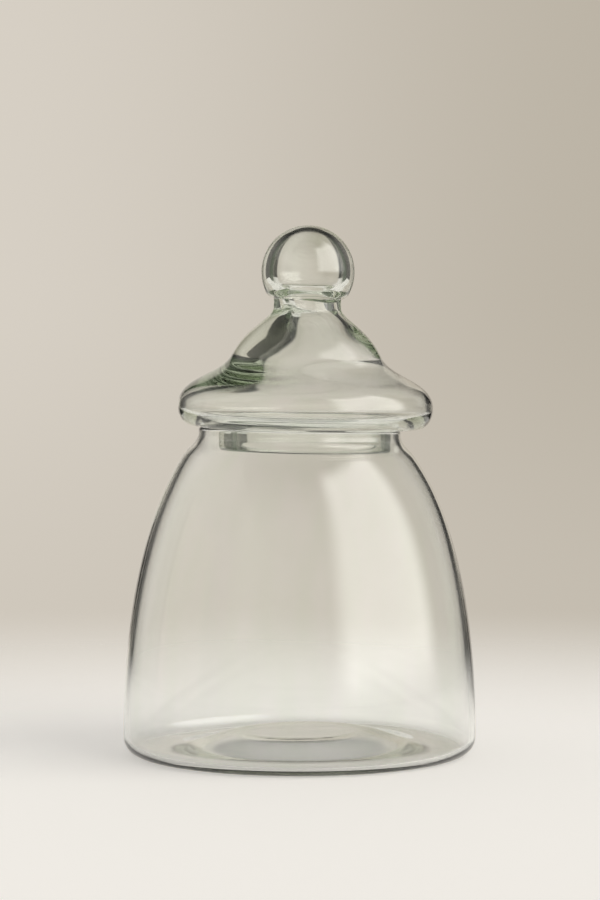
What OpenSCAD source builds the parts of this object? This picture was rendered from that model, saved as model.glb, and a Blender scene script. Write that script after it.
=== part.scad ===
// Blown glass candy jar with a loose lid that drops into its mouth.
// Sizes are in millimetres. The origin is the middle of the base on the table, and +Z is up.

/* [Jar] */
// Widest diameter, just above the heel
jar_d = 152.4; // [144:0.2:160]
// Height of the rim above the table
jar_h = 140; // [132:0.5:148]
// Outside diameter of the mouth
mouth_d = 87; // [82:0.5:92]
// Thickness of the blown wall
wall_t = 2.4; // [2:0.1:3]
// How far up the wall stays full, as a share of the jar's height
fullness = 0.42; // [0.36:0.01:0.48]
// Lean of the shoulder from upright, in degrees
shoulder_lean = 34.5; // [30:0.5:38]
// Depth of the shoulder's turn below the rim
shoulder_h = 11.2; // [9.5:0.1:13]
// How far the shoulder's turn stands out past the mouth
shoulder_out = 6.1; // [5:0.1:7]
// Width of the flat top of the rim
rim_land = 0.8; // [0.4:0.1:1.2]

/* [Base] */
// Radius of the rounded heel
heel_r = 6.8; // [5.5:0.1:8]
// Radius of the heel inside the jar
heel_in_r = 4; // [3.2:0.1:5]
// Width of the flat ring that the jar stands on
foot_w = 18; // [15:0.5:21]
// Width of the flat ring inside the jar
foot_in_w = 12; // [9:0.5:15]
// Thickness of the glass in the foot
foot_t = 3; // [2.4:0.1:3.6]
// Height of the kick-up under the base
punt_h = 5.8; // [4.8:0.1:6.8]
// Diameter of the kick-up's flat crown
crown_d = 48; // [42:0.5:54]
// Thickness of the glass in the crown
floor_t = 3.4; // [2.8:0.1:4]

/* [Lid] */
// Diameter of the lid's rounded edge
lid_d = 110; // [106:0.5:116]
// Diameter of the flat underside that rests on the rim
seat_d = 91; // [88:0.5:94]
// Height of the widest part of the edge above the rim
bulge_h = 9; // [8:0.1:10]
// Thickness of the blown edge
bulge_t = 2.6; // [2.2:0.1:3]
// Thickness of the underside
under_t = 2.4; // [2.1:0.1:2.8]
// Diameter of the lid where its foot turns into the cone
waist_d = 64; // [61:0.5:67]
// Height of that turn above the rim
waist_h = 31.5; // [30:0.1:33]

/* [Neck] */
// Height where the cone ends in the neck, above the rim
neck_h = 51.2; // [50:0.1:53]
// Diameter of the neck there
neck_d = 29.2; // [28:0.2:31]
// Thickness that the cone's wall grows to at the neck
neck_t = 6; // [5.2:0.1:6.8]
// Bore left in the neck by the blown hollow
bore_d = 17; // [15.4:0.2:17.8]
// Length of the neck, up to the crease under the knob
neck_l = 4.6; // [3.6:0.1:5.6]

/* [Knob] */
// Diameter of the ball knob
knob_d = 40.2; // [37:0.2:44]
// Diameter of its blown hollow
hollow_d = 31; // [28:0.2:33]
// Thickness of the ball's top
knob_t = 3.1; // [2.5:0.1:4]
// How far below its middle the ball turns in to the neck, in degrees
knob_turn = 27; // [22:0.5:32]
// Height of that turn
turn_h = 2.5; // [2:0.1:3.2]

/* [Collar] */
// How far the collar drops into the mouth
collar_l = 10; // [8:0.5:13]
// Thickness of the collar
collar_t = 5; // [4.2:0.1:5.8]
// Play between the collar and the mouth, all round
collar_play = 3.9; // [2.5:0.1:4.6]
// Rounding of the collar's lower edge
collar_edge = 0.9; // [0.6:0.1:1.6]

/* [Hidden] */
$fn = 128;
clear_glass = [0.80, 0.87, 0.80, 0.45];
jar_r = jar_d / 2;
mouth_r = mouth_d / 2;
lip_h = 2;
rim_edge = (wall_t - rim_land) / 2;
foot_r = jar_r - heel_r;
ring_r = foot_r - foot_w;
crown_r = crown_d / 2;
lid_r = lid_d / 2;
seat_r = seat_d / 2;
waist_r = waist_d / 2;
neck_r = neck_d / 2;
bore_r = bore_d / 2;
join_h = neck_h + neck_l;
knob_r = knob_d / 2;
hollow_r = hollow_d / 2;
knob_z = join_h + turn_h + knob_r * sin(knob_turn);
knob_top = knob_z + knob_r - knob_t;
collar_r = mouth_r - wall_t - collar_play;
collar_in = collar_r - collar_t;
// Where the full part of the jar's wall ends and its shoulder turns up to the mouth
shoulder = [mouth_r + shoulder_out, jar_h - shoulder_h];
lean = [sin(shoulder_lean), -cos(shoulder_lean)];
// Lengths of the handles that bend the jar's wall and lip, and share of the kick-up's run
shoulder_pull = 29;
turn_pull = 5;
lip_pull = 4;
rise_pull = 0.4;
// Share of the wall's curve below which the inner heel takes over
wall_from = 0.06;
// Leans of the lid's waist and neck from upright, and lengths of its handles
waist_lean = 25.5;
waist_pull = 10.5;
cone_pull = 12.75;
neck_lean = 21;
neck_pull = 4.5;
seat_pull = 5.5;
ogee_pull = 13;
bowl_pull = 1.5;
flue_pull = 2.4;
// How far the neck draws in, and the handles of the curl and the flare above it
neck_dip = 0.2;
crease_pull = 1.3;
curl_pull = 1.6;
flare_pull = 3;
flare_reach = 8;
// Height above the widest part of the lid's edge from which its wall thickens
thicken_h = 6.5;
// Share of a quarter turn that a curve's handle has to be to look round
round_pull = 0.56;

// Point of a cubic curve, and the direction it runs there
function at(p, t) = pow(1 - t, 3) * p[0] + 3 * pow(1 - t, 2) * t * p[1]
    + 3 * (1 - t) * t * t * p[2] + pow(t, 3) * p[3];
function along(p, t) = pow(1 - t, 2) * (p[1] - p[0]) + 2 * (1 - t) * t * (p[2] - p[1])
    + t * t * (p[3] - p[2]);

// n spans of a cubic curve, without its first point
function curve(p, n) = [for (i = [1:n]) at(p, i / n)];

// The same curve set in to its left, by a wall that grows from one height to another
function inset(p, n, wall, from = 0) = [
    for (i = [0:n])
        let (t = from + (1 - from) * i / n, q = at(p, t), d = along(p, t))
        q + grown(wall, q[1]) * [-d[1], d[0]] / norm(d)
];

// Thickness at a height: wall is [thin, thick, height where it starts, height where it ends]
function grown(wall, h) = wall[0] + (wall[1] - wall[0]) * eased((h - wall[2]) / (wall[3] - wall[2]));
function eased(s) = let (t = min(max(s, 0), 1)) t * t * (3 - 2 * t);

// n spans of an arc, without its first point
function arc(c, r, a0, a1, n) = [
    for (i = [1:n])
        let (a = a0 + (a1 - a0) * i / n)
        c + r * [cos(a), sin(a)]
];

function reversed(p) = [for (i = [len(p) - 1:-1:0]) p[i]];
function after_first(p) = [for (i = [1:len(p) - 1]) p[i]];

// Outside of the jar's wall, from the heel to the shoulder and on to the mouth
wall_line = [
    [jar_r, heel_r],
    [jar_r, heel_r + fullness * (jar_h - heel_r)],
    shoulder + shoulder_pull * lean,
    shoulder
];
turn_line = [
    shoulder,
    shoulder - turn_pull * lean,
    [mouth_r, jar_h - lip_h - lip_pull],
    [mouth_r, jar_h - lip_h]
];
jar_wall = [wall_t, wall_t, 0, jar_h];
wall_in = inset(wall_line, 24, jar_wall, wall_from);

// Rise of the kick-up from its crown's edge down to a ring, under the base or inside it
function rise(ring, low, high) = let (pull = rise_pull * (ring - crown_r)) [
    [crown_r, high],
    [crown_r + pull, high],
    [ring - pull, low],
    [ring, low]
];
foot_in = wall_in[0][0] - heel_in_r;
dome_h = punt_h + floor_t;
dome_rise = rise(foot_in - foot_in_w, foot_t, dome_h);

module jar_body() {
    color(clear_glass)
    rotate_extrude()
    polygon(concat(
        [[0, punt_h], [crown_r, punt_h]],
        curve(rise(ring_r, 0, punt_h), 16),
        [[foot_r, 0]],
        arc([foot_r, heel_r], heel_r, -90, 0, 10),
        curve(wall_line, 24),
        curve(turn_line, 10),
        [[mouth_r, jar_h - rim_edge]],
        arc([mouth_r - rim_edge, jar_h - rim_edge], rim_edge, 0, 90, 5),
        [[mouth_r - wall_t + rim_edge, jar_h]],
        arc([mouth_r - wall_t + rim_edge, jar_h - rim_edge], rim_edge, 90, 180, 5),
        reversed(inset(turn_line, 10, jar_wall)),
        [for (i = [23:-1:0]) wall_in[i]],
        [[foot_in + heel_in_r, foot_t + heel_in_r]],
        arc([foot_in, foot_t + heel_in_r], heel_in_r, 0, -90, 8),
        reversed(concat([[0, dome_h], [crown_r, dome_h]], curve(dome_rise, 16)))
    ));
}

// Outside of the lid, upwards from its underside. Heights are above the rim
waist = [waist_r, waist_h];
waist_run = [-sin(waist_lean), cos(waist_lean)];
edge_line = [[seat_r, 0], [seat_r + seat_pull, 0], [lid_r, bulge_h / 3], [lid_r, bulge_h]];
ogee_line = [[lid_r, bulge_h], [lid_r, bulge_h + ogee_pull], waist - waist_pull * waist_run, waist];
cone_line = [
    waist,
    waist + cone_pull * waist_run,
    [neck_r, neck_h] - neck_pull * [-sin(neck_lean), cos(neck_lean)],
    [neck_r, neck_h]
];
neck_line = [
    [neck_r, neck_h],
    [neck_r - neck_dip, neck_h + neck_l / 3],
    [neck_r - neck_dip, join_h - neck_l / 6],
    [neck_r, join_h]
];

// The blown hollow, upwards from the collar's bore to the bore of the neck
lid_wall = [bulge_t, neck_t, bulge_h + thicken_h, neck_h];
ogee_in = inset(ogee_line, 17, lid_wall);
cone_in = inset(cone_line, 15, lid_wall);
throat = cone_in[15];
throat_run = along(cone_line, 1) / norm(along(cone_line, 1));
bowl_line = [
    [collar_in, under_t / 2],
    [collar_in + bowl_pull, under_t + bowl_pull],
    [lid_r - bulge_t, under_t - bowl_pull],
    ogee_in[0]
];
flue_line = [throat, throat + flue_pull * throat_run, [bore_r, join_h - flue_pull], [bore_r, join_h]];

module lid_bell() {
    color(clear_glass)
    translate([0, 0, jar_h])
    rotate_extrude()
    polygon(concat(
        [[collar_in, 0], [seat_r, 0]],
        curve(edge_line, 10),
        curve(ogee_line, 18),
        curve(cone_line, 16),
        curve(neck_line, 6),
        reversed(concat(
            [bowl_line[0]],
            curve(bowl_line, 15),
            after_first(ogee_in),
            after_first(cone_in),
            curve(flue_line, 8)
        ))
    ));
}

module lid_collar() {
    color(clear_glass)
    translate([0, 0, jar_h])
    rotate_extrude()
    polygon(concat(
        [[collar_r, 0], [collar_in, 0], [collar_in, collar_edge - collar_l]],
        arc([collar_in + collar_edge, collar_edge - collar_l], collar_edge, 180, 270, 6),
        [[collar_r - collar_edge, -collar_l]],
        arc([collar_r - collar_edge, collar_edge - collar_l], collar_edge, 270, 360, 6)
    ));
}

// Where the ball's round turns in, and the curve from the neck's crease to it
ball_low = [knob_r * cos(knob_turn), knob_z - knob_r * sin(knob_turn)];
curl_line = [
    [neck_r, join_h],
    [neck_r + crease_pull, join_h],
    ball_low - curl_pull * [sin(knob_turn), cos(knob_turn)],
    ball_low
];
// The ball's hollow, upwards from the bore of the neck
flare_line = [
    [bore_r, join_h],
    [bore_r, join_h + flare_pull],
    [hollow_r, knob_z - flare_reach],
    [hollow_r, knob_z]
];
dome_line = [
    [hollow_r, knob_z],
    [hollow_r, knob_z + round_pull * (knob_top - knob_z)],
    [round_pull * hollow_r, knob_top],
    [0, knob_top]
];

module lid_knob() {
    color(clear_glass)
    translate([0, 0, jar_h])
    rotate_extrude()
    polygon(concat(
        [[neck_r, join_h]],
        curve(curl_line, 6),
        arc([0, knob_z], knob_r, -knob_turn, 90, 30),
        reversed(concat([flare_line[0]], curve(flare_line, 12), curve(dome_line, 16)))
    ));
}

jar_body();
lid_bell();
lid_collar();
lid_knob();
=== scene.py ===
"""Blown glass candy jar with a loose lid, on a pale studio floor.

Sizes are in millimetres until a mesh is made, and angles in degrees. The frame is
the CAD model's: the origin is the middle of the base on the table, +Z is up and -Y
faces the viewer.
"""

from __future__ import annotations

import logging
import math
from abc import ABC, abstractmethod
from dataclasses import dataclass, field

import bpy
import numpy as np
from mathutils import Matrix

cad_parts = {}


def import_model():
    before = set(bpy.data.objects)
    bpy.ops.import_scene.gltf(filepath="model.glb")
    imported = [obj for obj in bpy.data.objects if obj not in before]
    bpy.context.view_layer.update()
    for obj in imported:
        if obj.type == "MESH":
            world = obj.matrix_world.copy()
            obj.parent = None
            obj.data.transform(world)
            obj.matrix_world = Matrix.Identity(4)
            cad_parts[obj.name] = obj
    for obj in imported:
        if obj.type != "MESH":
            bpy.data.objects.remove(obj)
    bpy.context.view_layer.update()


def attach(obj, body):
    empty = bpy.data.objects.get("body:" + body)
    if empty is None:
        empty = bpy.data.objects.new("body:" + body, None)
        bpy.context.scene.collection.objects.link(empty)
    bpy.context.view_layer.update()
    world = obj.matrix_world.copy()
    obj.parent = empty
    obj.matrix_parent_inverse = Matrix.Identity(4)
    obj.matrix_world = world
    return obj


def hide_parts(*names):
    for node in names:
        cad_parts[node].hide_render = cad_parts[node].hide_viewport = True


LOG = logging.getLogger("candy_jar")
MM = 0.001

# Points of a line that lie closer than this count as one.
SAME_POINT = 1e-4

# The places of the sockets of a Mix node that mixes colours.
MIX_SHARE = 0
MIX_FIRST = 6
MIX_SECOND = 7
MIX_RESULT = 2

Array = np.ndarray
Pair = tuple[float, float]
Point = Array | Pair
Colour = tuple[float, float, float]
Socket = bpy.types.NodeSocket
Value = Socket | float


# Lines


def cubic(p0: Point, p1: Point, p2: Point, p3: Point, count: int) -> Array:
    """Points of a cubic curve: the four points weighted by (1-t)^3, 3(1-t)^2 t, 3(1-t) t^2 and t^3.

    Args:
        p0: The start, as radius and height.
        p1: The point that the curve leaves towards.
        p2: The point that the curve arrives from.
        p3: The end.
        count: How many points.

    Returns:
        The points, one row each.
    """
    t = np.linspace(0.0, 1.0, count)[:, None]
    a, b, c, d = (np.asarray(p, float) for p in (p0, p1, p2, p3))
    return (1 - t) ** 3 * a + 3 * (1 - t) ** 2 * t * b + 3 * (1 - t) * t**2 * c + t**3 * d


def arc(centre: Pair, radius: float, start: float, stop: float, count: int) -> Array:
    """Points of an arc: the centre plus the radius times the cosine and sine of the angle.

    Args:
        centre: The centre, as radius and height.
        radius: The arc's radius.
        start: The first angle, from the level outward direction.
        stop: The last angle.
        count: How many points.

    Returns:
        The points, one row each.
    """
    a = np.radians(np.linspace(start, stop, count))
    return np.stack([centre[0] + radius * np.cos(a), centre[1] + radius * np.sin(a)], -1)


def straight(p0: Pair, p1: Pair, count: int) -> Array:
    """Evenly spaced points from one end of a straight line to the other."""
    return np.linspace(np.asarray(p0, float), np.asarray(p1, float), count)


def set_in(line: Array, thickness: float | Array) -> Array:
    """Moves each point to the left of the line's own direction by a thickness.

    Args:
        line: The points, one row each.
        thickness: How far, as one number or one for each point.

    Returns:
        The moved points.
    """
    run = np.gradient(line, axis=0)
    run /= np.linalg.norm(run, axis=1, keepdims=True)
    return line + np.reshape(thickness, (-1, 1)) * np.stack([-run[:, 1], run[:, 0]], -1)


def joined(*lines: Array) -> Array:
    """Puts lines end to end and drops each point that repeats the one before it.

    Args:
        lines: The lines, each starting where the one before it ends, or after a straight gap.

    Returns:
        One line.
    """
    every = np.vstack(lines)
    apart = np.linalg.norm(np.diff(every, axis=0), axis=1) > SAME_POINT
    return every[np.r_[True, apart]]


def eased(value: Array, low: float, high: float) -> Array:
    """Goes smoothly from 0 at low to 1 at high: 3 s^2 - 2 s^3 of the clipped share s.

    Args:
        value: The values to look at.
        low: Where the result is 0.
        high: Where the result is 1; below low for a step down.

    Returns:
        The results, from 0 to 1.
    """
    s = np.clip((value - low) / (high - low), 0.0, 1.0)
    return s * s * (3.0 - 2.0 * s)


# Meshes


def closed_mesh(name: str, grid: Array) -> bpy.types.Object:
    """Makes a closed mesh of a grid that is wound round an axis.

    The first and last rows are single points on the axis. Each other row is a ring,
    quads join ring to ring with the last column joined to the first, and triangles
    close both ends. If the volume comes out negative, the faces are turned round.

    Args:
        name: The object's name.
        grid: Points in millimetres, as rows by columns by 3.

    Returns:
        The new object, smooth shaded, at the origin.
    """
    rows, count = grid.shape[:2]
    rings = rows - 2
    points = np.vstack([grid[1:-1].reshape(-1, 3), grid[:1, 0], grid[-1:, 0]]) * MM
    i, j = np.meshgrid(np.arange(rings - 1), np.arange(count), indexing="ij")
    k = (j + 1) % count
    low, high = i * count, (i + 1) * count
    quads = np.stack([low + j, low + k, high + k, high + j], -1).reshape(-1, 4)
    ring = np.arange(count)
    after = (ring + 1) % count
    first, last = rings * count, rings * count + 1
    foot = np.stack([np.full(count, first), after, ring], -1)
    top = (rings - 1) * count
    head = np.stack([np.full(count, last), top + ring, top + after], -1)
    tris = np.vstack([quads[:, :3], quads[:, [0, 2, 3]], foot, head])
    a, b, c = (points[tris[:, n]] for n in range(3))
    if np.einsum("ij,ij->", a, np.cross(b, c)) < 0:
        quads, foot, head = quads[:, ::-1], foot[:, ::-1], head[:, ::-1]
    mesh = bpy.data.meshes.new(name)
    mesh.from_pydata(points.tolist(), [], quads.tolist() + foot.tolist() + head.tolist())
    mesh.polygons.foreach_set("use_smooth", np.ones(len(mesh.polygons), bool))
    mesh.update()
    piece = bpy.data.objects.new(name, mesh)
    bpy.context.scene.collection.objects.link(piece)
    return piece


def flat_mesh(name: str, corners: Array) -> bpy.types.Object:
    """Makes one flat face.

    Args:
        name: The object's name.
        corners: The corners in metres, in order.

    Returns:
        The new object, at the origin.
    """
    mesh = bpy.data.meshes.new(name)
    mesh.from_pydata(corners.tolist(), [], [list(range(len(corners)))])
    mesh.update()
    sheet = bpy.data.objects.new(name, mesh)
    bpy.context.scene.collection.objects.link(sheet)
    return sheet


# Nodes


@dataclass
class Wiring:
    """Adds nodes to one node tree and joins them."""

    tree: bpy.types.NodeTree

    def put(self, socket: Socket, value: Value | Colour) -> None:
        """Sets a socket to a number or colour, or links another socket to it.

        Args:
            socket: The input to set.
            value: The number, the colour or another node's output.
        """
        if isinstance(value, Socket):
            self.tree.links.new(value, socket)
        elif isinstance(value, tuple):
            socket.default_value = (*value, 1.0)
        else:
            socket.default_value = value

    def math(self, operation: str, first: Value, second: Value = 0.0) -> Socket:
        """Puts one or two values through a Math node.

        Args:
            operation: The node's operation.
            first: The first value.
            second: The second value, where the operation has one.

        Returns:
            The node's result.
        """
        node = self.tree.nodes.new("ShaderNodeMath")
        node.operation = operation
        self.put(node.inputs[0], first)
        self.put(node.inputs[1], second)
        return node.outputs[0]

    def step(self, value: Value, low: float, high: float, to: Pair = (0.0, 1.0)) -> Socket:
        """Turns a value into a smooth step.

        Args:
            value: The value to look at.
            low: Where the step starts.
            high: Where it ends; below low for a step down.
            to: The results before and after the step.

        Returns:
            The step's result.
        """
        node = self.tree.nodes.new("ShaderNodeMapRange")
        node.interpolation_type = "SMOOTHSTEP"
        self.put(node.inputs["Value"], value)
        ends = {"From Min": low, "From Max": high, "To Min": to[0], "To Max": to[1]}
        for name, number in ends.items():
            node.inputs[name].default_value = number
        return node.outputs["Result"]

    def between(self, value: Value, ends: Pair, soft: float) -> Socket:
        """Makes a mask that is 1 between two ends and 0 outside them: a step up times a step down.

        Args:
            value: The value to look at.
            ends: The lower and the upper end.
            soft: How far each end's step reaches to both sides of it.

        Returns:
            The mask.
        """
        low, high = ends
        rise = self.step(value, low - soft, low + soft)
        return self.math("MULTIPLY", rise, self.step(value, high + soft, high - soft))

    def mix(self, first: Socket | Colour, second: Socket | Colour, share: Value) -> Socket:
        """Mixes two colours.

        Args:
            first: The colour at a share of 0.
            second: The colour at a share of 1.
            share: The share.

        Returns:
            The mixed colour.
        """
        node = self.tree.nodes.new("ShaderNodeMix")
        node.data_type = "RGBA"
        self.put(node.inputs[MIX_SHARE], share)
        self.put(node.inputs[MIX_FIRST], first)
        self.put(node.inputs[MIX_SECOND], second)
        return node.outputs[MIX_RESULT]

    def noise(self, place: Socket, stretch: Colour, detail: float) -> Socket:
        """Reads a noise pattern at a place.

        Args:
            place: The coordinates.
            stretch: How many spots there are in a metre along each axis.
            detail: How many finer layers the noise has.

        Returns:
            The pattern, from 0 to 1.
        """
        turn = self.tree.nodes.new("ShaderNodeMapping")
        self.tree.links.new(place, turn.inputs["Vector"])
        turn.inputs["Scale"].default_value = stretch
        node = self.tree.nodes.new("ShaderNodeTexNoise")
        node.inputs["Scale"].default_value = 1.0
        node.inputs["Detail"].default_value = detail
        self.tree.links.new(turn.outputs[0], node.inputs["Vector"])
        return node.outputs["Fac"]


def fresh_material(name: str) -> tuple[bpy.types.Material, Wiring, bpy.types.Node]:
    """Makes a node material.

    Args:
        name: The material's name.

    Returns:
        The material, the wiring of its nodes and its Principled shader.
    """
    material = bpy.data.materials.new(name)
    material.use_nodes = True
    return material, Wiring(material.node_tree), material.node_tree.nodes["Principled BSDF"]


class BlownSurface:
    """The node group of what blowing leaves on glass: streaks, slow waves, a faint haze and striae."""

    NAME = "blown surface"
    STREAKS = (300.0, 300.0, 9.0)
    WAVES = (45.0, 45.0, 20.0)
    PATCHES = (35.0, 35.0, 28.0)
    PATCH_EDGE = (0.56, 0.78)
    STRIAE = (90.0, 90.0, 14.0)
    STRIAE_EDGE = (0.35, 0.7)
    CLEAR = (1.0, 1.0, 1.0)
    PALE_GREEN = (0.955, 0.985, 0.945)

    @classmethod
    def group(cls) -> bpy.types.NodeTree:
        """Returns the group, built on its first use."""
        return bpy.data.node_groups.get(cls.NAME) or cls._build()

    @classmethod
    def _build(cls) -> bpy.types.NodeTree:
        """Builds the group.

        Height is the streaks, which are a noise drawn out along Z, plus slow waves.
        Roughness is a haze that rises in soft patches. Tint runs from clear to a pale
        green along the striae.

        Returns:
            The new group.
        """
        tree = bpy.data.node_groups.new(cls.NAME, "ShaderNodeTree")
        for name, side, kind in (
            ("Place", "INPUT", "NodeSocketVector"),
            ("Streak Depth", "INPUT", "NodeSocketFloat"),
            ("Wave Depth", "INPUT", "NodeSocketFloat"),
            ("Haze", "INPUT", "NodeSocketFloat"),
            ("Striae", "INPUT", "NodeSocketFloat"),
            ("Height", "OUTPUT", "NodeSocketFloat"),
            ("Roughness", "OUTPUT", "NodeSocketFloat"),
            ("Tint", "OUTPUT", "NodeSocketColor"),
        ):
            tree.interface.new_socket(name, in_out=side, socket_type=kind)
        start, end = tree.nodes.new("NodeGroupInput"), tree.nodes.new("NodeGroupOutput")
        wire = Wiring(tree)
        place = start.outputs["Place"]
        streaks = wire.noise(place, cls.STREAKS, detail=1.0)
        waves = wire.noise(place, cls.WAVES, detail=0.0)
        height = wire.math(
            "ADD",
            wire.math("MULTIPLY", streaks, start.outputs["Streak Depth"]),
            wire.math("MULTIPLY", waves, start.outputs["Wave Depth"]),
        )
        patches = wire.step(wire.noise(place, cls.PATCHES, detail=4.0), *cls.PATCH_EDGE)
        rough = wire.math("MULTIPLY", patches, start.outputs["Haze"])
        striae = wire.step(wire.noise(place, cls.STRIAE, detail=2.0), *cls.STRIAE_EDGE)
        share = wire.math("MULTIPLY", striae, start.outputs["Striae"])
        tint = wire.mix(cls.CLEAR, cls.PALE_GREEN, share)
        for socket, name in ((height, "Height"), (rough, "Roughness"), (tint, "Tint")):
            tree.links.new(socket, end.inputs[name])
        return tree


# Finishes


@dataclass(frozen=True)
class GlassFinish:
    """Clear soda-lime glass with a faint green body tint; the depths are in millimetres."""

    name: str
    density: float
    body_tint: Colour = (0.68, 0.735, 0.62)
    ior: float = 1.5
    streak_depth: float = 0.004
    wave_depth: float = 0.05
    haze: float = 0.02
    striae: float = 0.5

    def material(self) -> bpy.types.Material:
        """Makes the glass, whose green comes from the light's way through it.

        Returns:
            The new material.
        """
        material, wire, glass = fresh_material(self.name)
        nodes = material.node_tree.nodes
        surface = nodes.new("ShaderNodeGroup")
        surface.node_tree = BlownSurface.group()
        wire.put(surface.inputs["Place"], nodes.new("ShaderNodeTexCoord").outputs["Object"])
        for name, value in (
            ("Streak Depth", self.streak_depth),
            ("Wave Depth", self.wave_depth),
            ("Haze", self.haze),
            ("Striae", self.striae),
        ):
            wire.put(surface.inputs[name], value)
        bump = nodes.new("ShaderNodeBump")
        bump.inputs["Strength"].default_value = 1.0
        bump.inputs["Distance"].default_value = MM
        wire.put(bump.inputs["Height"], surface.outputs["Height"])
        wire.put(glass.inputs["Normal"], bump.outputs["Normal"])
        wire.put(glass.inputs["Roughness"], surface.outputs["Roughness"])
        wire.put(glass.inputs["Base Color"], surface.outputs["Tint"])
        glass.inputs["Metallic"].default_value = 0.0
        glass.inputs["Transmission Weight"].default_value = 1.0
        glass.inputs["IOR"].default_value = self.ior
        green = nodes.new("ShaderNodeVolumeAbsorption")
        green.inputs["Color"].default_value = (*self.body_tint, 1.0)
        green.inputs["Density"].default_value = self.density
        wire.put(nodes["Material Output"].inputs["Volume"], green.outputs["Volume"])
        return material


@dataclass(frozen=True)
class FloorFinish:
    """Pale matt paper that fades into the backdrop behind the jar; its lengths are in metres."""

    paper: Colour = (0.76, 0.738, 0.70)
    grain: Colour = (240.0, 240.0, 240.0)
    grain_share: float = 0.97
    roughness: float = 0.75
    sheen: float = 0.2
    glow: Colour = (0.80, 0.775, 0.735)
    glow_strength: float = 0.44
    middle: Colour = (0.0, -0.25, 0.0)
    fade_from: float = 0.29
    fade_to: float = 0.91

    def material(self) -> bpy.types.Material:
        """Makes the paper, with a fine grain and a round edge that fades out.

        Returns:
            The new material.
        """
        material, wire, paper = fresh_material("pale paper")
        nodes = material.node_tree.nodes
        place = nodes.new("ShaderNodeTexCoord").outputs["Object"]
        grain = wire.noise(place, self.grain, detail=3.0)
        darker = tuple(self.grain_share * c for c in self.paper)
        wire.put(paper.inputs["Base Color"], wire.mix(darker, self.paper, grain))
        paper.inputs["Roughness"].default_value = self.roughness
        paper.inputs["Specular IOR Level"].default_value = self.sheen
        paper.inputs["Emission Color"].default_value = (*self.glow, 1.0)
        paper.inputs["Emission Strength"].default_value = self.glow_strength
        away = nodes.new("ShaderNodeVectorMath")
        away.operation = "DISTANCE"
        wire.put(away.inputs[0], place)
        away.inputs[1].default_value = self.middle
        wire.put(paper.inputs["Alpha"], wire.step(away.outputs["Value"], self.fade_to, self.fade_from))
        return material


# The jar and its lid


@dataclass(frozen=True)
class Lobe:
    """One wave of the wander round a piece: how many crests it has and how they lie.

    Attributes:
        crests: How many crests there are in a turn.
        share: Its share of the wander.
        twist: By how many radians it turns in a millimetre of height.
        start: Its phase in radians at height 0.
        lag: How much later it comes on the hollow than on the skin, in radians.
    """

    crests: int
    share: float
    twist: float
    start: float
    lag: float


@dataclass
class BlownPiece(ABC):
    """A piece of blown glass: a line of radii and heights wound round the jar's axis.

    Attributes:
        name: The name of the piece.
        body: The body that it rides on.
        slot: The material slot that it shows.
        nodes: The CAD nodes whose place it takes.
        finish: Its glass.
        around: How many points there are in a turn.
        wander: How far the skin may wander.
        steady: The radius below which the wander dies out towards the axis.
        settle: The slope of the rim and of the lid that rests on it.
        lobes: The waves of the wander.
        piece: The finished object.
    """

    name: str
    body: str
    slot: str
    nodes: tuple[str, ...]
    finish: GlassFinish
    around: int = 256
    wander: float = 0.12
    steady: float = 12.0
    settle: float = 1.15
    lobes: tuple[Lobe, ...] = (
        Lobe(crests=2, share=0.6, twist=0.021, start=0.7, lag=1.9),
        Lobe(crests=3, share=0.4, twist=-0.034, start=2.1, lag=3.23),
    )
    piece: bpy.types.Object | None = field(default=None, init=False)

    @abstractmethod
    def outside(self) -> Array:
        """Returns the line of the outer skin, from the axis to where the hollow starts."""

    @abstractmethod
    def inside(self) -> Array:
        """Returns the line of the hollow, from its edge back to the axis."""

    @abstractmethod
    def freedom(self, height: Array) -> Array:
        """Returns how far the skin may wander at each height, from 0 to 1."""

    @abstractmethod
    def placed(self, grid: Array, hollow: Array) -> Array:
        """Returns the grid with the piece's own leans put in."""

    def grid(self) -> Array:
        """Winds the line round the axis.

        A point is (r cos a, r sin a, z). The radius r is the line's own plus a small
        wander, which is the sum over the lobes of the share times the sine of
        crests a + twist z + start, plus the lag on the hollow, as on glass that was
        blown by hand.

        Returns:
            Points in millimetres, as rows by columns by 3.
        """
        outer, inner = self.outside(), self.inside()
        line = joined(outer, inner)
        hollow = (np.arange(len(line)) >= len(joined(outer)))[:, None]
        a = np.linspace(0.0, 2.0 * np.pi, self.around, endpoint=False)[None, :]
        r, z = line[:, :1], line[:, 1:]
        waves = sum(
            lobe.share * np.sin(lobe.crests * a + lobe.twist * z + lobe.start + lobe.lag * hollow)
            for lobe in self.lobes
        )
        r = r + self.wander * self.freedom(z) * waves * np.clip(r / self.steady, 0.0, 1.0)
        whole = np.stack([r * np.cos(a), r * np.sin(a), np.broadcast_to(z, r.shape)], -1)
        return self.placed(whole, hollow)

    def build(self) -> None:
        """Makes the mesh and puts it in the place of its CAD nodes."""
        self.piece = closed_mesh(self.name, self.grid())
        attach(self.piece, self.body)
        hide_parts(*self.nodes)

    def dress(self) -> None:
        """Gives the mesh its glass."""
        self.piece.data.materials.append(self.finish.material())

    def triangles(self) -> int:
        """Returns how many triangles the mesh has."""
        self.piece.data.calc_loop_triangles()
        return len(self.piece.data.loop_triangles)


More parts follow.
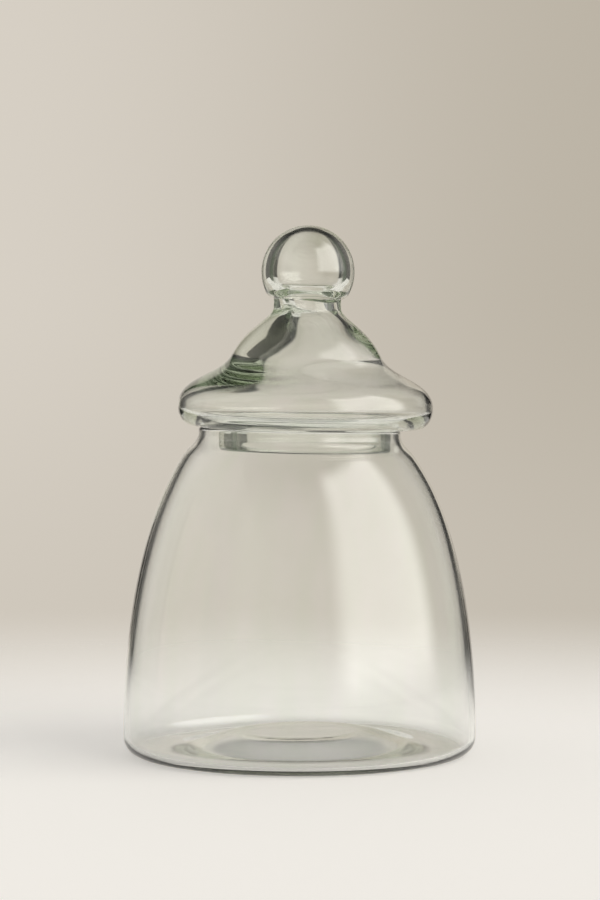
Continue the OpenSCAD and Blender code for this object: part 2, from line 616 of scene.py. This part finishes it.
@dataclass
class Jar(BlownPiece):
    """The bell-shaped body, open at the mouth, on a foot ring round a kick-up.

    A pull is the length of a curve's handle at one of its ends; kick_pull is a share of
    its curve's width. free_above, free_below and slope_over are heights between which the
    wander and the rim's slope come and go.
    """

    name: str = "jar_glass"
    body: str = "jar"
    slot: str = "jar_glass"
    nodes: tuple[str, ...] = ("jar_body",)
    finish: GlassFinish = GlassFinish("clear jar glass", density=12.0)
    width: float = 152.4
    height: float = 140.0
    mouth: float = 87.0
    wall: float = 2.4
    fullness: float = 0.42
    shoulder_lean: float = 34.5
    shoulder_drop: float = 11.2
    shoulder_out: float = 6.1
    shoulder_pull: float = 29.0
    turn_pull: float = 5.0
    lip: float = 2.0
    lip_pull: float = 4.0
    rim_land: float = 0.8
    heel: float = 6.8
    heel_inside: float = 4.0
    heel_clear: float = 2.0
    heel_straight: float = 1.5
    foot_ring: float = 18.0
    foot_inside: float = 12.0
    foot_wall: float = 3.0
    kick_up: float = 5.8
    kick_pull: float = 0.4
    crown: float = 24.0
    floor_wall: float = 3.4
    free_above: Pair = (9.0, 30.0)
    free_below: Pair = (136.0, 112.0)
    slope_over: Pair = (96.0, 136.0)

    def _wall(self) -> tuple[Array, Array]:
        """Draws the outer wall as two curves that share the shoulder's lean.

        Returns:
            The wall from heel to shoulder, and the shoulder's turn up to the lip.
        """
        r, m, top = self.width / 2, self.mouth / 2, self.height
        shoulder = np.array([m + self.shoulder_out, top - self.shoulder_drop])
        angle = math.radians(self.shoulder_lean)
        lean = np.array([math.sin(angle), -math.cos(angle)])
        full = self.heel + self.fullness * (top - self.heel)
        lip = top - self.lip
        wall = cubic((r, self.heel), (r, full), shoulder + self.shoulder_pull * lean, shoulder, 90)
        turn = cubic(shoulder, shoulder - self.turn_pull * lean, (m, lip - self.lip_pull), (m, lip), 22)
        return wall, turn

    def outside(self) -> Array:
        """Draws the line from the middle of the kick-up over the foot, up the wall and onto the rim.

        Returns:
            The points, as radius and height.
        """
        r, m, top = self.width / 2, self.mouth / 2, self.height
        foot = r - self.heel
        ring = foot - self.foot_ring
        edge = (self.wall - self.rim_land) / 2
        wall, turn = self._wall()
        return joined(
            self._rise(ring, 0.0, self.kick_up),
            straight((ring, 0.0), (foot, 0.0), 6),
            arc((foot, self.heel), self.heel, -90.0, 0.0, 18),
            wall,
            turn,
            straight((m, top - self.lip), (m, top - edge), 3),
            arc((m - edge, top - edge), edge, 0.0, 90.0, 8),
        )

    def inside(self) -> Array:
        """Draws the line from the rim down the inner wall, round the foot and up over the kick-up.

        Returns:
            The points, as radius and height.
        """
        m, top, low, turn_in = self.mouth / 2, self.height, self.foot_wall, self.heel_inside
        edge = (self.wall - self.rim_land) / 2
        heel = low + turn_in
        inner = set_in(joined(*self._wall()), self.wall)[::-1]
        inner = inner[inner[:, 1] > heel + self.heel_clear]
        r = inner[-1, 0]
        foot = r - turn_in
        return joined(
            arc((m - self.wall + edge, top - edge), edge, 90.0, 180.0, 8),
            inner,
            straight((r, heel + self.heel_straight), (r, heel), 3),
            arc((foot, heel), turn_in, 0.0, -90.0, 16),
            self._rise(foot - self.foot_inside, low, self.kick_up + self.floor_wall)[::-1],
        )

    def _rise(self, ring: float, low: float, high: float) -> Array:
        """Draws the line from the flat crown of the kick-up down to the foot ring.

        Args:
            ring: The radius at which it comes down.
            low: The height there.
            high: The height of the crown.

        Returns:
            The points, as radius and height.
        """
        crown = self.crown
        pull = self.kick_pull * (ring - crown)
        return joined(
            straight((0.0, high), (crown, high), 8),
            cubic((crown, high), (crown + pull, high), (ring - pull, low), (ring, low), 30),
        )

    def freedom(self, height: Array) -> Array:
        """Returns no wander at foot and rim, and all of it between."""
        return eased(height, *self.free_above) * eased(height, *self.free_below)

    def placed(self, grid: Array, hollow: Array) -> Array:
        """Slopes the mouth: a point goes down by x times the tangent of the slope, more so near the rim.

        Args:
            grid: The points, with heights above the table.
            hollow: Which rows are the hollow's; not used, as skin and hollow slope alike.

        Returns:
            The points, with the slope put in.
        """
        x, z = grid[..., 0], grid[..., 2]
        slope = math.tan(math.radians(self.settle)) * eased(z, *self.slope_over)
        grid[..., 2] = z - slope * x
        return grid


@dataclass
class Lid(BlownPiece):
    """The hollow pagoda-shaped lid, its ball knob, and the collar that drops into the mouth.

    Heights are above the rim until the lid is placed. A pull is the length of a curve's
    handle, and a pair that ends in _below or _above is the handle on that side, out and
    up. A pair that ends in _over is the heights between which a change comes about.
    """

    name: str = "lid_glass"
    body: str = "lid"
    slot: str = "lid_glass"
    nodes: tuple[str, ...] = ("lid_bell", "lid_collar", "lid_knob")
    finish: GlassFinish = GlassFinish("clear lid glass", density=28.0)
    rim_height: float = 140.0
    width: float = 110.0
    seat: float = 91.0
    seat_pull: float = 5.5
    edge_height: float = 9.0
    edge_pull: float = 13.0
    edge_wall: float = 2.6
    under_pull: float = 6.0
    under_wall: float = 2.4
    bowl_pull: float = 1.5
    waist: float = 64.0
    waist_height: float = 31.5
    waist_below: Pair = (4.5, -9.5)
    waist_above: Pair = (-5.5, 11.5)
    thicken: float = 6.5
    neck: float = 29.2
    neck_height: float = 51.2
    neck_below: Pair = (1.6, -4.2)
    neck_above: Pair = (-0.1, 2.0)
    neck_wall: float = 6.0
    neck_length: float = 4.6
    crease_below: Pair = (-0.25, -0.6)
    crease_above: Pair = (1.3, 0.2)
    bore: float = 17.0
    throat_pull: float = 2.2
    bore_pull: float = 2.5
    knob: float = 40.2
    knob_pull: float = 1.6
    knob_hollow: float = 31.0
    hollow_pulls: Pair = (3.0, 8.0)
    hollow_round: float = 0.56
    knob_wall: float = 3.1
    knob_turn: float = 27.0
    turn_height: float = 2.5
    collar: float = 74.4
    collar_wall: float = 5.0
    collar_length: float = 10.0
    collar_edge: float = 0.9
    fillet: float = 0.6
    aside: float = 2.3
    lifted: float = 0.15
    collar_aside: float = 1.8
    edge_aside: float = 0.4
    edge_over: Pair = (-2.0, 7.0)
    cone_aside: float = 4.5
    cone_over: Pair = (10.0, 28.0)
    neck_over: Pair = (36.0, 58.0)
    free_over: Pair = (3.0, 12.0)
    calm_over: Pair = (44.0, 58.0)
    calm_share: float = 0.7

    def _heights(self) -> Pair:
        """Returns the heights of the crease under the knob and of the knob's middle."""
        crease = self.neck_height + self.neck_length
        return crease, crease + self.turn_height + self.knob / 2 * math.sin(math.radians(self.knob_turn))

    def _skin(self) -> Array:
        """Draws the outer line from the widest part of the edge up the cone to the neck.

        Returns:
            The points, as radius and height.
        """
        edge = np.array([self.width / 2, self.edge_height])
        waist = np.array([self.waist / 2, self.waist_height])
        neck = np.array([self.neck / 2, self.neck_height])
        return joined(
            cubic(edge, edge + (0.0, self.edge_pull), waist + self.waist_below, waist, 40),
            cubic(waist, waist + self.waist_above, neck + self.neck_below, neck, 36),
        )

    def outside(self) -> Array:
        """Draws the line from the knob's top down over the cone and edge, and down the collar.

        Returns:
            The points, as radius and height.
        """
        e, h, s, c = self.width / 2, self.edge_height, self.seat / 2, self.collar / 2
        foot, f, b = -self.collar_length, self.fillet, self.collar_edge
        under, middle = self._heights()
        crease = np.array([self.neck / 2, under])
        neck = np.array([self.neck / 2, self.neck_height])
        ball = arc((0.0, middle), self.knob / 2, 90.0, -self.knob_turn, 52)
        low = ball[-1]
        turn = math.radians(self.knob_turn)
        leave = low - self.knob_pull * np.array([math.sin(turn), math.cos(turn)])
        return joined(
            ball,
            cubic(low, leave, crease + self.crease_above, crease, 10),
            cubic(crease, crease + self.crease_below, neck + self.neck_above, neck, 8),
            self._skin()[::-1],
            cubic((e, h), (e, h - self.under_pull), (s + self.seat_pull, 0.0), (s, 0.0), 20),
            straight((s, 0.0), (c + f, 0.0), 5),
            arc((c + f, -f), f, 90.0, 180.0, 6),
            straight((c, -f), (c, foot + b), 5),
            arc((c - b, foot + b), b, 0.0, -90.0, 9),
        )

    def inside(self) -> Array:
        """Draws the line from the collar's foot up its bore, round the hollow and up into the knob.

        The cone's wall thickens smoothly from the edge's thickness to the neck's.

        Returns:
            The points, as radius and height.
        """
        n, k = self.bore / 2, self.knob_hollow / 2
        c = self.collar / 2 - self.collar_wall
        foot, b, u = -self.collar_length, self.collar_edge, self.under_wall
        crease, middle = self._heights()
        top = middle + self.knob / 2 - self.knob_wall
        skin = self._skin()
        grown = eased(skin[:, 1], self.edge_height + self.thicken, self.neck_height)
        hollow = set_in(skin, self.edge_wall + (self.neck_wall - self.edge_wall) * grown)
        edge, throat = hollow[0], hollow[-1]
        climb = throat - hollow[-2]
        climb *= self.throat_pull / np.linalg.norm(climb)
        pull, full = self.bowl_pull, self.hollow_round
        leave, arrive = self.hollow_pulls
        return joined(
            arc((c + b, foot + b), b, -90.0, -180.0, 9),
            straight((c, foot + b), (c, u / 2), 6),
            cubic((c, u / 2), (c + pull, u + pull), (edge[0], u - pull), edge, 26),
            hollow,
            cubic(throat, throat + climb, (n, crease - self.bore_pull), (n, crease), 12),
            cubic((n, crease), (n, crease + leave), (k, middle - arrive), (k, middle), 24),
            cubic((k, middle), (k, middle + full * (top - middle)), (full * k, top), (0.0, top), 26),
        )

    def freedom(self, height: Array) -> Array:
        """Returns no wander at collar and seat, all of it on the cone and little on the knob."""
        return eased(height, *self.free_over) * (1.0 - self.calm_share * eased(height, *self.calm_over))

    def placed(self, grid: Array, hollow: Array) -> Array:
        """Moves the hollow aside, most of all in the cone, and sets the lid down on the sloping rim.

        The lid leans with the rim, which is a turn about Y: x becomes x cos + z sin and z
        becomes z cos - x sin.

        Args:
            grid: The points, with heights above the rim.
            hollow: Which rows are the hollow's.

        Returns:
            The points, with heights above the table.
        """
        x, z = grid[..., 0], grid[..., 2]
        low, edge, cone = self.collar_aside, self.edge_aside, self.cone_aside
        off = low + (edge - low) * eased(z, *self.edge_over) + (cone - edge) * eased(z, *self.cone_over)
        x = x + hollow * (off - cone * eased(z, *self.neck_over))
        lean = math.radians(self.settle)
        grid[..., 0] = self.aside + x * math.cos(lean) + z * math.sin(lean)
        grid[..., 2] = self.rim_height + self.lifted + z * math.cos(lean) - x * math.sin(lean)
        return grid


# The studio


@dataclass
class Studio:
    """Paper floor, the light of the room and the camera.

    A heading is measured from the middle of the backdrop, to the viewer's right, and a
    height from the level. Each softness is how far an edge reaches to both sides.

    Attributes:
        left: The backdrop's colour at the left, lighter there as painted light.
        right: Its colour at the right, darker there as painted shade.
        spread: How far the painted change from the lighter left to the darker right reaches.
        swing: How strong that painted light and shade is.
        fade_low: Heights over which the painted change comes to its full strength.
        low_share: Its share below them.
        back_half: Half the width of a lit panel.
        back_soft: The softness of its sides.
        side_panel: The heading of the second lit panel.
        roof: The height of the panels' top edge.
        roof_soft: The softness of that edge.
        room: The dark room between the panels.
        shade: The dim walls at both sides.
        shade_across: Headings between which they stand.
        shade_soft: The softness of their ends.
        shade_drop: How much lower the table's far edge lies before them.
        fill: The lit room on the viewer's side.
        flags: Headings over which mirror rays come to see it.
        behind: Headings over which rays through the glass come to see it too.
        ceiling: Heights over which it ends.
        table: The pale table.
        table_edge: The height of its far edge.
        table_soft: The softness of that edge.
        daylight: The even light on matt surfaces.
        let_through: The share of it that the glass lets through to them.
        window: The window in a ray that was mirrored once at most.
        window_seen: The window in any other ray that comes from the glass.
        window_cast: The window's light on matt surfaces.
        window_across: Headings between which it stands.
        window_up: Heights between which it stands.
        window_soft: The softness of its sides, and of its foot and head.
        floor: The finish of the floor.
        floor_radius: The radius of the floor, in metres.
        floor_gap: How far the floor lies under the foot ring.
        floor_corners: How many corners its edge has.
        pixel: How many millimetres a pixel of the picture spans at the jar.
        picture: The picture's height in pixels.
        focal: The focal length in pixels.
        sensor: The longer side of the camera's sensor.
        camera_rise: The camera's height over the table, in pixels.
        camera_drop: How far the middle of the picture lies under the level, in pixels.
        camera_aside: How far the camera stands to the right.
        bounces: How often light may go on from surface to surface.
        inner_bounces: How often it may be mirrored.
    """

    left: Colour = (0.682, 0.632, 0.560)
    right: Colour = (0.497, 0.451, 0.376)
    spread: float = 11.0
    swing: float = 1.16
    fade_low: Pair = (-6.0, 1.0)
    low_share: float = 0.4
    back_half: float = 19.0
    back_soft: float = 1.5
    side_panel: float = -90.0
    roof: float = 24.0
    roof_soft: float = 3.0
    room: Colour = (0.03, 0.03, 0.027)
    shade: Colour = (0.10, 0.12, 0.085)
    shade_across: Pair = (46.0, 121.0)
    shade_soft: float = 8.0
    shade_drop: float = 27.0
    fill: Colour = (0.85, 0.815, 0.745)
    flags: Pair = (22.0, 55.0)
    behind: Pair = (115.0, 140.0)
    ceiling: Pair = (60.0, 30.0)
    table: Colour = (0.80, 0.77, 0.72)
    table_edge: float = -9.0
    table_soft: float = 0.7
    daylight: Colour = (0.44, 0.434, 0.43)
    let_through: float = 0.8
    window: Colour = (3.3, 3.25, 3.1)
    window_seen: Colour = (0.6, 0.6, 0.55)
    window_cast: Colour = (2.4, 2.36, 2.25)
    window_across: Pair = (80.0, 151.0)
    window_up: Pair = (0.0, 55.0)
    window_soft: Pair = (9.0, 5.0)
    floor: FloorFinish = FloorFinish()
    floor_radius: float = 1.3
    floor_gap: float = 0.2
    floor_corners: int = 96
    pixel: float = 0.4317
    picture: float = 900.0
    focal: float = 2878.0
    sensor: float = 36.0
    camera_rise: float = 430.0
    camera_drop: float = 127.0
    camera_aside: float = 0.2
    bounces: int = 64
    inner_bounces: int = 20

    def _backdrop(self, wire: Wiring, heading: Socket, height: Socket) -> Socket:
        """Paints light and shade on the backdrop: lighter at its left, darker at its right.

        The share of the darker right colour is 0.5 + swing a exp(-a^2), where a is the heading
        over the spread, so there is no seam behind the viewer. Low down the painted shade is less.

        Args:
            wire: The wiring of the room's nodes.
            heading: The ray's heading.
            height: The ray's height.

        Returns:
            The colour.
        """
        # Painted light and shade: one paper turns from a lighter left to a darker right, less so low
        # down.
        a = wire.math("DIVIDE", heading, self.spread)
        fall = wire.math("EXPONENT", wire.math("MULTIPLY", wire.math("MULTIPLY", a, a), -1.0))
        fall = wire.math("MULTIPLY", fall, wire.step(height, *self.fade_low, to=(self.low_share, 1.0)))
        turn = wire.math("MULTIPLY", wire.math("MULTIPLY", a, self.swing), fall)
        return wire.mix(self.left, self.right, wire.math("ADD", turn, 0.5))

    def _panels(self, wire: Wiring, heading: Socket, height: Socket) -> Socket:
        """Marks the two lit panels, which show the backdrop: one behind the jar and one at its side.

        Args:
            wire: The wiring of the room's nodes.
            heading: The ray's heading.
            height: The ray's height.

        Returns:
            A mask that is 1 on the panels.
        """
        half, soft = self.back_half, self.back_soft
        ahead = wire.math("ABSOLUTE", heading)
        aside = wire.math("ABSOLUTE", wire.math("SUBTRACT", heading, self.side_panel))
        across = wire.step(wire.math("MINIMUM", ahead, aside), half + soft, half - soft)
        below = wire.step(height, self.roof + self.roof_soft, self.roof - self.roof_soft)
        return wire.math("MULTIPLY", across, below)

    def _walls(self, wire: Wiring, heading: Socket, height: Socket, mirror: Socket) -> Socket:
        """Colours the room round the panels: dark, dim at the sides, lit on the viewer's side.

        The pale table covers it from below, up to a far edge that lies lower at the sides.

        Args:
            wire: The wiring of the room's nodes.
            heading: The ray's heading.
            height: The ray's height.
            mirror: 1 in a ray that the glass mirrors, and 0 in one that goes through it.

        Returns:
            The colour.
        """
        away = wire.math("ABSOLUTE", heading)
        side = wire.between(away, self.shade_across, self.shade_soft)
        walls = wire.mix(self.room, self.shade, side)
        front = wire.math("MULTIPLY", wire.step(away, *self.flags), mirror)
        front = wire.math("MAXIMUM", front, wire.step(away, *self.behind))
        front = wire.math("MULTIPLY", front, wire.step(height, *self.ceiling))
        walls = wire.mix(walls, self.fill, front)
        edge, soft = self.table_edge, self.table_soft
        drop = wire.math("ADD", height, wire.math("MULTIPLY", side, self.shade_drop))
        return wire.mix(walls, self.table, wire.step(drop, edge + soft, edge - soft))

    def _opening(self, wire: Wiring, heading: Socket, height: Socket) -> Socket:
        """Marks the window, a box with soft edges at the right.

        Args:
            wire: The wiring of the room's nodes.
            heading: The ray's heading.
            height: The ray's height.

        Returns:
            A mask that is 1 on the window.
        """
        across, up = self.window_soft
        mask = wire.between(heading, self.window_across, across)
        return wire.math("MULTIPLY", mask, wire.between(height, self.window_up, up))

    def light(self) -> None:
        """Makes the room: a colour for each direction, from its heading and its height.

        The colour also depends on the kind of ray. The camera sees the backdrop all
        round. Rays that come from the glass see the panels, the walls, the table and the
        window. Matt surfaces are lit by even daylight and the window, and most of that
        reaches them through the glass as well.
        """
        world = bpy.data.worlds.new("studio")
        bpy.context.scene.world = world
        world.use_nodes = True
        tree = world.node_tree
        wire = Wiring(tree)
        split = tree.nodes.new("ShaderNodeSeparateXYZ")
        wire.put(split.inputs[0], tree.nodes.new("ShaderNodeTexCoord").outputs["Generated"])
        heading = wire.math("DEGREES", wire.math("ARCTAN2", split.outputs["X"], split.outputs["Y"]))
        height = wire.math("DEGREES", wire.math("ARCSINE", split.outputs["Z"]))
        ray = tree.nodes.new("ShaderNodeLightPath").outputs
        # A ray that goes through the glass counts as glossy too, so it is taken off.
        mirror = wire.math("SUBTRACT", ray["Is Glossy Ray"], ray["Is Transmission Ray"])
        backdrop = self._backdrop(wire, heading, height)
        walls = self._walls(wire, heading, height, mirror)
        seen = wire.mix(walls, backdrop, self._panels(wire, heading, height))
        opening = self._opening(wire, heading, height)
        # A ray that was mirrored once at most shows the window in full.
        once = wire.step(ray["Glossy Depth"], 1.0, 2.0, to=(1.0, 0.0))
        seen = wire.mix(seen, wire.mix(self.window_seen, self.window, once), opening)
        daylight = wire.mix(self.daylight, self.window_cast, opening)
        glass = wire.math("MAXIMUM", ray["Is Glossy Ray"], ray["Is Transmission Ray"])
        kept = wire.step(ray["Diffuse Depth"], 0.0, 1.0, to=(1.0, 1.0 - self.let_through))
        colour = wire.mix(daylight, seen, wire.math("MULTIPLY", glass, kept))
        colour = wire.mix(colour, backdrop, ray["Is Camera Ray"])
        wire.put(tree.nodes["Background"].inputs["Color"], colour)
        LOG.info("room light: window at %.0f to %.0f degrees", *self.window_across)

    def lay_floor(self) -> None:
        """Lays a round sheet of paper just under the foot ring."""
        a = np.linspace(0.0, 2.0 * np.pi, self.floor_corners, endpoint=False)
        r, z = self.floor_radius, np.full_like(a, -self.floor_gap * MM)
        sheet = flat_mesh("paper_floor", np.stack([r * np.cos(a), r * np.sin(a), z], -1))
        sheet.data.materials.append(self.floor.material())
        LOG.info("floor: pale paper, %.1f m across", 2.0 * r)

    def aim_camera(self) -> None:
        """Puts the camera at the picture's height and distance, looking a little down."""
        distance = self.focal * self.pixel * MM
        rise = self.camera_rise * self.pixel * MM
        data = bpy.data.cameras.new("camera")
        data.sensor_width = self.sensor
        data.lens = self.sensor * self.focal / self.picture
        camera = bpy.data.objects.new("camera", data)
        camera.location = (self.camera_aside * MM, -distance, rise)
        camera.rotation_euler = (math.pi / 2 - math.atan(self.camera_drop / self.focal), 0.0, 0.0)
        scene = bpy.context.scene
        scene.collection.objects.link(camera)
        scene.camera = camera
        scene.view_settings.view_transform = "Standard"
        scene.cycles.max_bounces = self.bounces
        scene.cycles.transmission_bounces = self.bounces
        scene.cycles.glossy_bounces = self.inner_bounces
        LOG.info("camera %.2f m away", distance)

    def build(self) -> None:
        """Sets up the whole studio."""
        self.light()
        self.lay_floor()
        self.aim_camera()


def main() -> None:
    logging.basicConfig(level=logging.INFO, format="%(name)s: %(message)s")
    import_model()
    for piece in (Jar(), Lid()):
        piece.build()
        piece.dress()
        LOG.info("%s: %d triangles of %s", piece.name, piece.triangles(), piece.finish.name)
    Studio().build()


if __name__ == "__main__":
    main()
